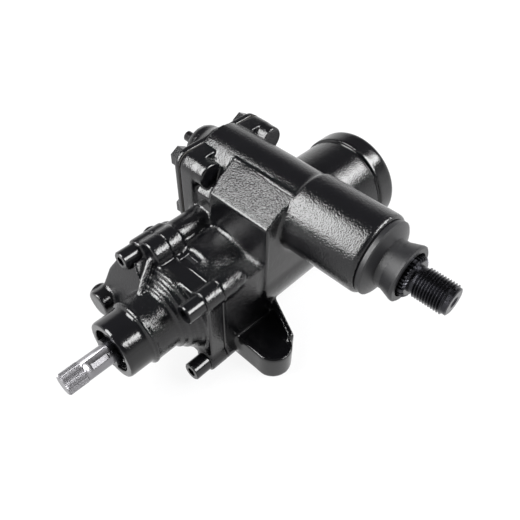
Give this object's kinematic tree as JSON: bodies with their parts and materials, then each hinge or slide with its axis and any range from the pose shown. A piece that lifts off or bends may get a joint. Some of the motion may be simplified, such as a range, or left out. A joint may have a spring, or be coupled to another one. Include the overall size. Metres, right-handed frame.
{
  "type": "power steering gearbox",
  "caption": "Recirculating-ball power steering gear: cast housing with worm and rack piston, crossed by a sector shaft with splined, threaded pitman end.",
  "frame": {"origin": "midway between the two front feet's tapped holes, on the mounting face", "axes": "+Z out of the mounting face towards the gear, -Y along the worm towards the input shaft's tip, +X along the sector shaft towards the pitman arm"},
  "size_m": [0.2875, 0.3608, 0.1569],
  "materials": {
    "painted_casting": "gloss black enamel over cast iron",
    "black_fastener": "black oxide",
    "rubber": "matte",
    "ground_steel": "ground",
    "bright_shaft_steel": "turned",
    "dark_steel": "machined",
    "black_sector_steel": "black oxide",
    "filled_ptfe": "filled fluoropolymer",
    "gasket_paper": "pressed fibre",
    "bearing_bronze": "sintered bronze"
  },
  "bodies": {
    "housing": {"gear_housing": "painted_casting", "valve_housing": "painted_casting", "valve_housing_screws": "black_fastener", "valve_housing_seal": "rubber", "side_cover": "painted_casting", "side_cover_gasket": "gasket_paper", "side_cover_bolts": "black_fastener", "side_cover_bush": "bearing_bronze", "lash_adjuster_screw": "black_fastener", "adjuster_lock_nut": "black_fastener", "end_plug": "dark_steel", "end_plug_seal": "rubber", "end_plug_retaining_ring": "ground_steel", "sector_inner_bearing": "ground_steel", "sector_outer_bearing": "ground_steel", "sector_shaft_seal": "rubber", "sector_seal_snap_ring": "dark_steel", "sector_dust_boot": "rubber", "input_needle_bearing": "ground_steel", "input_shaft_seal": "rubber", "input_seal_snap_ring": "ground_steel", "worm_front_thrust_bearing": "ground_steel", "worm_rear_thrust_bearing": "ground_steel", "worm_bearing_retainer": "dark_steel"},
    "worm": {"worm_shaft": "ground_steel", "valve_sleeve": "ground_steel", "valve_sleeve_rings": "filled_ptfe", "valve_sleeve_pin": "ground_steel"},
    "input": {"input_shaft": "bright_shaft_steel", "input_dust_shield": "dark_steel", "torsion_bar": "ground_steel", "torsion_bar_pin": "ground_steel"},
    "piston": {"rack_piston": "dark_steel", "piston_ring": "filled_ptfe", "recirculating_balls": "ground_steel", "ball_return_guide": "ground_steel", "ball_guide_clamp": "dark_steel", "ball_clamp_screws": "dark_steel", "piston_end_plug": "dark_steel"},
    "sector": {"sector_shaft": "black_sector_steel", "adjuster_retainer": "ground_steel"}
  },
  "joints": [
    {"name": "worm_turn", "type": "hinge", "parent": "housing", "child": "worm", "pos_m": [0, 0, 0.054], "axis": [0, 1, 0], "range_deg": [-640, 640]},
    {"name": "valve_twist", "type": "hinge", "parent": "worm", "child": "input", "pos_m": [0, 0, 0.054], "axis": [0, 1, 0], "range_deg": [-4, 4], "stiffness_Nm_per_rad": 60},
    {"name": "piston_slide", "type": "slide", "parent": "housing", "child": "piston", "axis": [0, 1, 0], "range_m": [-0.02513, 0.02513]},
    {"name": "sector_turn", "type": "hinge", "parent": "housing", "child": "sector", "pos_m": [0, 0.066, 0.122], "axis": [1, 0, 0], "range_deg": [-40.01, 40.01]}
  ],
  "couplings": [
    {"joint": "worm_turn", "follows": "piston_slide", "rad_per_m": -444.44},
    {"joint": "sector_turn", "follows": "piston_slide", "rad_per_m": 27.778}
  ]
}
